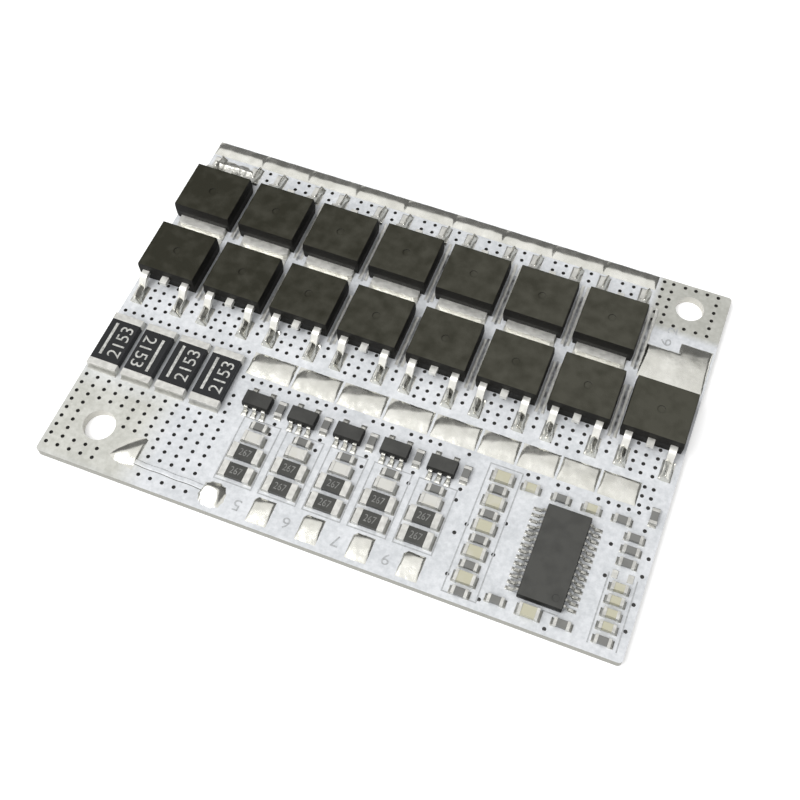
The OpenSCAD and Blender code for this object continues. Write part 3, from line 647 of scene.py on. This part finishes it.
# %% [markdown]
# ## The two bus bars
#
# The output bus runs along the back edge, where the pools run into each other. In the middle
# bus they stay apart. The iron ran from right to left, so each pool there is full at its front
# right and falls away behind a slanting crest, and the last two were left level.

# %% Bus bars
rng = np.random.default_rng(7)
pools = []
for low, high in solids_in("output_bus_solder"):
    # Each pool reaches past its pad and into the next
    low.x, high.x = max(low.x - 0.17, board_low.x + 0.02), high.x + 0.17
    crests = [((low.x, high.y - rng.uniform(1.05, 1.2)), (high.x, high.y - rng.uniform(0.9, 1.0))),
              ((low.x + 0.1, low.y + 0.9), (low.x + 0.6, high.y), 0.4)]
    pools.append(pool(rectangle(low, high), BUS_RISE, rng, crests, fall=0.15, front=0.20,
                      right=0.4))
make_piece("output_bus_solder_pools", *joined(pools), run_solder, "solder",
           ["output_bus_solder"])

pools = []
LEVEL_POOLS = 2
middle_pools = from_left(solids_in("middle_bus_solder"))
for number, (low, high) in enumerate(middle_pools):
    depth = high.y - low.y
    crests = [((low.x, low.y + depth * rng.uniform(0.42, 0.52)), (high.x - 0.1, high.y - 0.2)),
              ((low.x + 0.08, low.y + 0.2), (low.x + 0.45, high.y), 0.4)]
    if number >= len(middle_pools) - LEVEL_POOLS:
        crests = ()
    pools.append(pool(rectangle(low, high), BUS_RISE, rng, crests, fall=0.15, front=0.17))
make_piece("middle_bus_solder_pools", *joined(pools), run_solder, "solder",
           ["middle_bus_solder"])

# %% [markdown]
# ## Cell taps
#
# The cell taps are the same solder on small pads, each with its back left corner cut. The
# first one has been soldered twice, so it is rounder, taller and rougher than the others.

# %% Cell taps
taps = from_left(solids_in("cell_tap_solder"))
BLOB = ((-1, -0.3), (-0.8, -0.75), (-0.4, -1), (0.3, -1), (0.8, -0.8), (1, -0.3), (0.95, 0.3),
        (0.7, 0.8), (0.2, 1), (-0.4, 0.95), (-0.85, 0.7))
CUT = 0.35
pools = []
for number, (low, high) in enumerate(taps):
    height = high.z - BOARD_TOP
    if number:
        corners = [(low.x, low.y), (high.x, low.y), (high.x, high.y), (low.x + CUT, high.y),
                   (low.x, high.y - CUT)]
        crests = [((low.x, high.y - rng.uniform(0.6, 0.75)), (high.x - 0.1, high.y - 0.2))]
        pools.append(pool(corners, 0.55 * height, rng, crests, fall=0.24, front=0.12))
    else:
        middle, half = (low + high) / 2, (high - low) / 2
        corners = [(middle.x + half.x * u, middle.y + half.y * v) for u, v in BLOB]
        crests = [((low.x, high.y - 0.9), (high.x, high.y - 0.75), 0.45),
                  ((low.x + 1.75, low.y + 1.5), (low.x + 1.45, low.y), 0.55)]
        pools.append(pool(corners, 0.7 * height, rng, crests, front=0.25, right=0.6,
                          wander=0.05, waves=0.03, step=0.09))
make_piece("cell_tap_pools", *joined(pools), run_solder, "solder", ["cell_tap_solder"])

# %% [markdown]
# ## Battery and discharge pads
#
# The battery pad is a fan that narrows to the left, with a ridge where the iron left it. The
# discharge pad has a step in its back edge. Both are pools on their own outlines.

# %% Battery and discharge pads
low, high = corners_of("battery_negative_solder")
point = low.y + 0.22 * (high.y - low.y)
fan = [(low.x, point), (low.x + 0.6, low.y + 0.45), (high.x - 0.05, low.y + 0.1),
       (high.x, high.y - 0.15), (high.x - 0.35, high.y), (high.x - 1.3, high.y - 0.35),
       (low.x + 0.6, high.y - 1.3)]
crests = [((low.x + 0.4, point - 0.2), (high.x - 0.1, high.y - 0.7), 0.30),
          ((high.x, low.y + 0.9), (low.x + 0.6, low.y + 0.5), 0.9)]
battery_pad = pool(fan, 0.55 * (high.z - BOARD_TOP), rng, crests, front=0.18, sides=0.15,
                   right=2.0, waves=0.015, step=0.09)
make_piece("battery_pad_pool", *battery_pad, run_solder, "solder", ["battery_negative_solder"])

low, high = corners_of("discharge_solder")
STEP_DEPTH = 1.25
step_x, step_y = (low.x + high.x) / 2, high.y - STEP_DEPTH
stepped = [(low.x, low.y), (high.x, low.y), (high.x, high.y), (step_x, high.y),
           (step_x, step_y), (low.x, step_y)]
crests = [((low.x, step_y - 0.7), (high.x, high.y - 0.8), 0.20)]
discharge_pad = pool(stepped, 0.66 * (high.z - BOARD_TOP), rng, crests, front=0.10)
make_piece("discharge_pad_pool", *discharge_pad, run_solder, "solder", ["discharge_solder"])

# %% [markdown]
# ## Solder fillets
#
# Every terminal stands in a small fillet of solder that wets the land and climbs the metal. It
# is what makes a chip look soldered and not just placed. A bevel can't make it, because it
# belongs to neither part. So each land carries a small height field that falls, in a hollow
# curve, from the metal's wall to the land's edge.

# %% Fillets on the lands
def fillet(land, part, climb, step=0.07):
    """Solder on a land round the metal that stands on it, as points and faces."""
    (x0, y0), (x1, y1) = land[0][:2], land[1][:2]
    px0, py0 = max(part[0].x, x0), max(part[0].y, y0)
    px1, py1 = min(part[1].x, x1), min(part[1].y, y1)
    reach = max(px0 - x0, x1 - px1, py0 - y0, y1 - py1, 0.05)
    nx, ny = (max(4, round((b - a) / step)) for a, b in ((x0, x1), (y0, y1)))
    xs = np.unique(np.round(np.append(np.linspace(x0, x1, nx), [px0, px1]), 4))
    ys = np.unique(np.round(np.append(np.linspace(y0, y1, ny), [py0, py1]), 4))
    x, y = np.meshgrid(xs, ys, indexing="ij")
    gap = np.hypot(np.maximum(0, np.maximum(px0 - x, x - px1)),
                   np.maximum(0, np.maximum(py0 - y, y - py1)))
    edge = np.minimum(np.minimum(x - x0, x1 - x), np.minimum(y - y0, y1 - y))
    height = climb * np.clip(1 - gap / reach, 0, 1) ** 1.7 * np.clip(edge / 0.1, 0, 1) ** 0.6
    faces = []
    for face in grid_faces(len(xs), len(ys)):
        i, j = divmod(face[0], len(ys))
        a, b = (xs[i] + xs[i + 1]) / 2, (ys[j] + ys[j + 1]) / 2
        if not (px0 < a < px1 and py0 < b < py1):
            faces.append(face)
    return grid_points(x, y, SEAT + HAIR + height), faces


def overlap(land, part, least=0.02):
    """Whether metal stands on a land."""
    return (min(land[1].x, part[1].x) - max(land[0].x, part[0].x) > least
            and min(land[1].y, part[1].y) - max(land[0].y, part[0].y) > least)


# How much of its metal's height each fillet climbs, and the most in millimetres
CLIMBS = (("_terminals", 0.6, 0.45), ("_leads", 1.0, 0.13), ("_leadframe", 0.3, 0.3))
# The solder under the wide tabs is flat, so only narrower metal gets a fillet
WIDE = 3.6
metal = []
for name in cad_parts:
    for ending, share, most in CLIMBS:
        if name.endswith(ending):
            metal += [(solid, min(most, share * (solid[1].z - solid[0].z)))
                      for solid in solids_in(name) if width(solid) < WIDE]
fillets = []
for land in lands:
    for part, climb in metal:
        if overlap(land, part):
            fillets.append(fillet(land, part, climb))
            break
make_piece("solder_fillets", *joined(fillets), reflowed_tin, "solder")
print("fillets:", len(fillets), "for", len(metal), "pieces of metal")

# %% [markdown]
# ## Solder on the transistors' feet
#
# The feet carry the most current, so they get the most solder. The iron came from the left, so
# a wedge of solder leans on each foot and runs down to the right of it. The feet of the back
# row, partly hidden behind the bodies, have less.

# %% Foot solder
SHOULDER = 0.54


def foot_solder(land, lead, top, bare, toe, rng, step=0.07):
    """Wedge of solder on the right of a foot. Its ridge starts bare mm from the foot's left
    side at the height top, drifts right towards the toe, which points to -1 or 1, and the
    solder falls away to both sides of it, to the height of its shoulder at the foot's right."""
    x0, x1 = lead[0].x, land[1].x + 0.12
    y0, y1 = land[0].y - 0.05, land[1].y + 0.05
    nx, ny = round((x1 - x0) / step), round((y1 - y0) / step)
    x, y = np.meshgrid(np.linspace(x0, x1, nx), np.linspace(y0, y1, ny), indexing="ij")
    phase = rng.uniform(0, 2 * math.pi, 3)
    from_toe = np.abs(y - (y0 if toe < 0 else y1)) / (y1 - y0)
    ridge = x0 + bare + 0.3 * (1 - from_toe) + 0.05 * np.sin(4 * y + phase[2])
    right_edge = x1 - 0.30 * from_toe + 0.04 * np.sin(3 * y + phase[0])
    shoulder_x = lead[1].x + 0.03
    run_down = top - (top - SHOULDER) * np.clip((x - ridge) / (shoulder_x - ridge), 0, 1)
    run_down -= 1.6 * np.maximum(0, ridge - x)
    tail = SHOULDER * np.clip((right_edge - x) / (right_edge - shoulder_x + 0.01), 0, 1)
    height = np.where(x < shoulder_x, run_down, tail)
    height *= np.clip(from_toe / 0.08, 0, 1) ** 0.5 * np.clip((1 - from_toe) / 0.2, 0, 1) ** 0.7
    height += 0.02 * np.sin(5 * x + phase[1]) * np.sin(4 * y + phase[2]) * (height > 0.2)
    return grid_points(x, y, BOARD_TOP + HAIR + np.maximum(0.0, height)), grid_faces(nx, ny)


# The first seven transistors are the back row. Leads are narrower than the tabs and their
# lands, which share the nodes with them
BACK_ROW, TRANSISTORS = 7, 15
LEAD_MOST, FOOT_LAND_MOST = 1, 2
feet = []
for number in range(1, TRANSISTORS + 1):
    top, bare, toe = (0.85, 0.45, 1) if number <= BACK_ROW else (1.02, 0.18, -1)
    for lead in solids_in(f"transistor_{number}_leadframe"):
        if width(lead) <= LEAD_MOST:
            land = next(land for land in lands
                        if overlap(land, lead) and width(land) < FOOT_LAND_MOST)
            feet.append(foot_solder(land, lead, top, bare, toe, rng))
make_piece("foot_solder", *joined(feet), run_solder, "solder")
print("feet:", len(feet))

# %% [markdown]
# ## A repaired joint
#
# The first transistor has been soldered again by hand: one rough pool covers the lands of its
# feet. Its solder is dull, because old flux and tin were melted into it.

# %% Repaired joint
low, high = corners_of("transistor_1_leadframe")
blob = [(high.x + 0.1, high.y - 1.7), (high.x - 0.3, high.y - 0.45),
        (high.x - 1.6, high.y + 0.25), (low.x + 0.8, high.y + 0.2),
        (low.x - 0.15, high.y - 0.5), (low.x - 0.3, high.y - 1.7)]
crests = [((low.x - 0.3, high.y - 0.75), (high.x + 0.1, high.y - 0.6), 0.9)]
repair = pool(blob, 0.85, rng, crests, front=0.8, wander=0.06, waves=0.07, step=0.09)
make_piece("repaired_joint", *repair, reflowed_tin, "solder")

# %% [markdown]
# ## Ridges beside the trenches
#
# On both sides of each trench between the columns, the copper carries a thin ridge of solder.
# The ridges lie deep between the bodies, and only their tops catch the light. Each is a strip
# with rounded sides whose height and course waver a little. In the back row they run on past
# the bodies.

# %% Track ridges
RIDGE_HALF, RIDGE_RISE, RIDGE_ASIDE = 0.17, 0.03, 0.31
ridges = []
for gap in range(COLUMN_GAPS):
    centre = column_1 + (gap + 0.5) * PITCH
    for (low, high), past in zip(rows, (-0.2, 1.4)):
        for side in (-1, 1):
            across = np.linspace(-RIDGE_HALF, RIDGE_HALF, 7)
            along = np.arange(low - 0.4, high + past, 0.12)
            x, y = np.meshgrid(across, along, indexing="ij")
            swell = 1 + 0.15 * np.sin(9 * y + gap) + 0.08 * np.sin(21 * y)
            z = BOARD_TOP + HAIR + RIDGE_RISE * (1 - (x / RIDGE_HALF) ** 4) * swell
            x = x + centre + side * (RIDGE_ASIDE + 0.02 * np.sin(4 * y + gap))
            ridges.append((grid_points(x, y, z), grid_faces(len(across), len(along))))
make_piece("track_ridges", *joined(ridges), matt_tin, "solder")
print("ridges:", len(ridges))

# %% [markdown]
# ## Printed marks
#
# The shunts carry a bar and a number in white, and the mask is printed with grey outlines and
# numbers. Both are screen-printed ink about 0.02 mm thick. The small grey numbers of the
# resistors are burnt into their glaze by a laser. Marks could be painted in the finishes, but
# a flat piece that lies on its part stays sharp at any size. The numbers are Blender's own
# type, turned into a mesh and stretched to the size of the print.

# %% Marks and type
def mark_finish(name, colour, worn):
    """A mark that has worn thin in specks about a quarter of a millimetre across."""
    material, tree, shader, place = new_finish(name, 0.6)
    wear = mottle(tree, place, 0.25, 0.0, 1.0, detail=3)
    feed(tree, shader, {"Base Color": add(tree, "ShaderNodeMix",
         {"Factor": wear, "A": worn, "B": colour}, data_type="RGBA")})
    roughen(tree, shader, wear, 0.004)
    return material


white_ink = mark_finish("screen_printed_white_ink", "#d6d6d1", "#8f8f8b")
grey_ink = mark_finish("screen_printed_grey_ink", "#9c9e9f", "#bdbfc1")
burnt_mark = mark_finish("laser_marked_glaze", "#8d8d8a", "#62625f")


def number_shape(text, width, height):
    """Flat mesh of a number, stretched to width by height and centred on the origin."""
    curve = bpy.data.curves.new("number", "FONT")
    curve.body = text
    curve.resolution_u = 3
    typed = bpy.data.objects.new("number", curve)
    mesh = bpy.data.meshes.new_from_object(typed)
    points = np.array([v.co[:2] for v in mesh.vertices])
    faces = [tuple(p.vertices) for p in mesh.polygons]
    bpy.data.objects.remove(typed)
    bpy.data.meshes.remove(mesh)
    low, high = points.min(0), points.max(0)
    return (points - (low + high) / 2) / (high - low) * np.array([width, height]), faces


def bar_shape(width, height):
    x, y = width / 2, height / 2
    return np.array([(-x, -y), (x, -y), (x, y), (-x, y)]), [(0, 1, 2, 3)]


def laid(shape, x, y, z, turn=0.0):
    """A flat shape turned and moved to its place, as points and faces."""
    points, faces = shape
    c, s = math.cos(math.radians(turn)), math.sin(math.radians(turn))
    return [(x + c * u - s * v, y + s * u + c * v, z) for u, v in points], faces


INK = 0.02
print("marks:", white_ink.name, grey_ink.name, burnt_mark.name)

# %% [markdown]
# Each shunt has its bar on one side and its number, which reads along it, on the other. The
# second shunt was placed the other way round.

# %% Marks on the shunts
SHUNTS, TURNED_SHUNT = 4, 2
marks = []
for number in range(1, SHUNTS + 1):
    low, high = corners_of(f"shunt_{number}_body")
    x, y, z = (low.x + high.x) / 2, (low.y + high.y) / 2, high.z + INK
    way = -1 if number == TURNED_SHUNT else 1
    marks.append(laid(bar_shape(0.30, 3.9), x - way * 0.78, y + way * 0.1, z))
    marks.append(laid(number_shape("2153", 3.7, 1.35), x + way * 0.55, y + way * 0.05, z,
                      way * 90))
make_piece("shunt_marks", *joined(marks), white_ink, "shunt_coat", smooth=False)

# %% [markdown]
# The ten balance resistors all have the same value, so they carry the same number.

# %% Marks on the balance resistors
balance = solids_in("balance_resistor_bodies")
marks = [laid(number_shape("267", 1.2, 0.75), (low.x + high.x) / 2, (low.y + high.y) / 2,
              high.z + INK / 2) for low, high in balance]
make_piece("resistor_marks", *joined(marks), burnt_mark, "resistor_glass", smooth=False)

# %% [markdown]
# The print on the board frames each channel of the balancing chips and the column of chips
# beside the controller. It marks one end of the controller and both sides of the right column
# with single lines, and it numbers the cell taps and the back hole's corner.

# %% Print on the board
LINE = 0.13
PRINT = BOARD_TOP + INK


def printed_bar(width, height, x, y):
    return laid(bar_shape(width, height), x, y, PRINT)


def printed_frame(x0, y0, x1, y1):
    """A frame is four thin bars, of which the front and back ones reach the corners."""
    x, y = (x0 + x1) / 2, (y0 + y1) / 2
    return [printed_bar(x1 - x0 + LINE, LINE, x, y0), printed_bar(x1 - x0 + LINE, LINE, x, y1),
            printed_bar(LINE, y1 - y0 - LINE, x0, y), printed_bar(LINE, y1 - y0 - LINE, x1, y)]


prints = []
balance_low, balance_high = corners_of("balance_resistor_terminals")
channels = sorted({round((low.x + high.x) / 2, 2) for low, high in balance})
for x in channels:
    prints += printed_frame(x - 1.95, balance_low.y - 0.32, x + 1.98, balance_high.y + 3.1)

# The column of chips on the left of the controller lies between these two X
COLUMN_LEFT, COLUMN_RIGHT = 12, 16
capacitors = solids_in("chip_capacitor_bodies")
column = [(low, high) for low, high in capacitors if COLUMN_LEFT < low.x < COLUMN_RIGHT]
column_x = sum(low.x + high.x for low, high in column) / 2 / len(column)
prints += printed_frame(column_x - 1.65, board_low.y + 0.7, column_x + 1.7, bus_low.y - 0.6)
prints.append(printed_bar(1.5, LINE, body_high.x - 1, body_low.y - 0.25))
right_column_x = max(low.x for low, high in capacitors) + 0.8
for aside in (-1.35, 1.4):
    prints.append(printed_bar(LINE, 7.2, right_column_x + aside, board_low.y + 4.4))

for number, (low, high) in zip("5679", taps[1:]):
    prints.append(laid(number_shape(number, 0.75, 1.15), low.x - 1.35,
                       (low.y + high.y) / 2 - 0.2, PRINT, 180))
for number, height, x, y in (("6", 1.1, -1.3, -4.9), ("2", 1.0, -1.0, -3.3)):
    prints.append(laid(number_shape(number, 0.9, height), BACK_HOLE.x + x, BACK_HOLE.y + y,
                       PRINT, 90))
make_piece("board_print", *joined(prints), grey_ink, "solder_mask", smooth=False)
print("board print:", len(prints), "shapes for", len(channels), "channels")

# %% [markdown]
# ## A raised track
#
# One track is thick enough to show through the mask: it runs from the battery pad to the first
# cell tap. It is a low strip with rounded sides, in the colour of the mask.

# %% Raised track
TRACK_HALF, TRACK_RISE = 0.30, 0.13
pad_low, pad_high = corners_of("battery_negative_solder")
x, v = np.meshgrid(np.linspace(pad_high.x - 0.2, taps[0][0].x + 0.3, 60), np.linspace(-1, 1, 15),
                   indexing="ij")
sag = -0.09 * (x - pad_high.x) / 7 + 0.03 * np.sin(2.1 * x)
y = pad_low.y + 0.98 + sag + TRACK_HALF * v
z = BOARD_TOP + HAIR + TRACK_RISE * (1 - v ** 6)
make_piece("raised_track", grid_points(x, y, z), grid_faces(*x.shape), mask, "solder_mask")

# %% [markdown]
# ## Floor
#
# The floor is a plain white sheet. It is lit as the board is, so it keeps the board's shadow,
# and a little light of its own, for the camera, reflections and rays that pass through, lifts
# it to white.

# %% Floor
FLOOR_HALF = 3
floor_points, floor_faces = bar_shape(2 * FLOOR_HALF, 2 * FLOOR_HALF)
floor_mesh = bpy.data.meshes.new("floor")
floor_mesh.from_pydata([(x, y, 0) for x, y in floor_points], [], floor_faces)
floor = bpy.data.objects.new("floor", floor_mesh)
floor.location.z = -0.02 * MM
bpy.context.scene.collection.objects.link(floor)
paper, tree, shader, place = new_finish("white_paper_sweep", 0.9, ior=1.45, specular=0.1)
feed(tree, shader, {"Base Color": "#e8e8e8"})
rays = add(tree, "ShaderNodeLightPath").outputs
seen = add(tree, "ShaderNodeMath", {0: rays["Is Camera Ray"], 1: rays["Is Glossy Ray"]},
           operation="MAXIMUM")
seen = add(tree, "ShaderNodeMath", {0: seen, 1: rays["Is Transmission Ray"]},
           operation="MAXIMUM")
strength = add(tree, "ShaderNodeMath", {0: seen, 1: 0.35}, operation="MULTIPLY")
glow = add(tree, "ShaderNodeEmission", {"Strength": strength})
both = add(tree, "ShaderNodeAddShader", {0: shader, 1: glow})
feed(tree, tree.nodes["Material Output"], {"Surface": both})
floor.data.materials.append(paper)
print("floor of", 2 * FLOOR_HALF, "m")

# %% [markdown]
# ## Light
#
# Metal shows what is round it, so the studio matters as much as the finish. A product tent is
# open and bright overhead and towards the viewer, and dark low down at the back: level solder
# shows the bright part, and solder that slopes away shows the dark part. One lamp at the front
# left gives the shadows their direction.

# %% Light
world = bpy.data.worlds.new("product_tent")
world.use_nodes = True
bpy.context.scene.world = world
tree = world.node_tree
OPEN_SIDE = Vector((-0.25, -0.45, 0.86))
TENT = ((0.0, 0.16), (0.40, 0.20), (0.57, 0.98), (1.0, 1.03))
way = add(tree, "ShaderNodeTexCoord").outputs["Generated"]
toward = add(tree, "ShaderNodeVectorMath", {0: way, 1: OPEN_SIDE.normalized()},
             operation="DOT_PRODUCT").outputs["Value"]
dome = add(tree, "ShaderNodeValToRGB", {"Fac": toward})
stops = dome.color_ramp.elements
for position, level in TENT[1:-1]:
    stops.new(position)
for stop, (position, level) in zip(stops, TENT):
    stop.position = position
    stop.color = (level, level, level, 1)
feed(tree, tree.nodes["Background"], {"Color": dome, "Strength": 1.0})

lamp = bpy.data.objects.new("softbox", bpy.data.lights.new("softbox", "AREA"))
lamp.data.shape = "SQUARE"
lamp.data.size = 0.40
lamp.data.energy = 3.2
lamp.location = Vector((-0.30, -0.35, 0.89)) * 0.80
lamp.rotation_euler = (-lamp.location).to_track_quat("-Z", "Y").to_euler()
bpy.context.scene.collection.objects.link(lamp)
bpy.context.scene.view_settings.view_transform = "Standard"
print("lamp energy", lamp.data.energy)
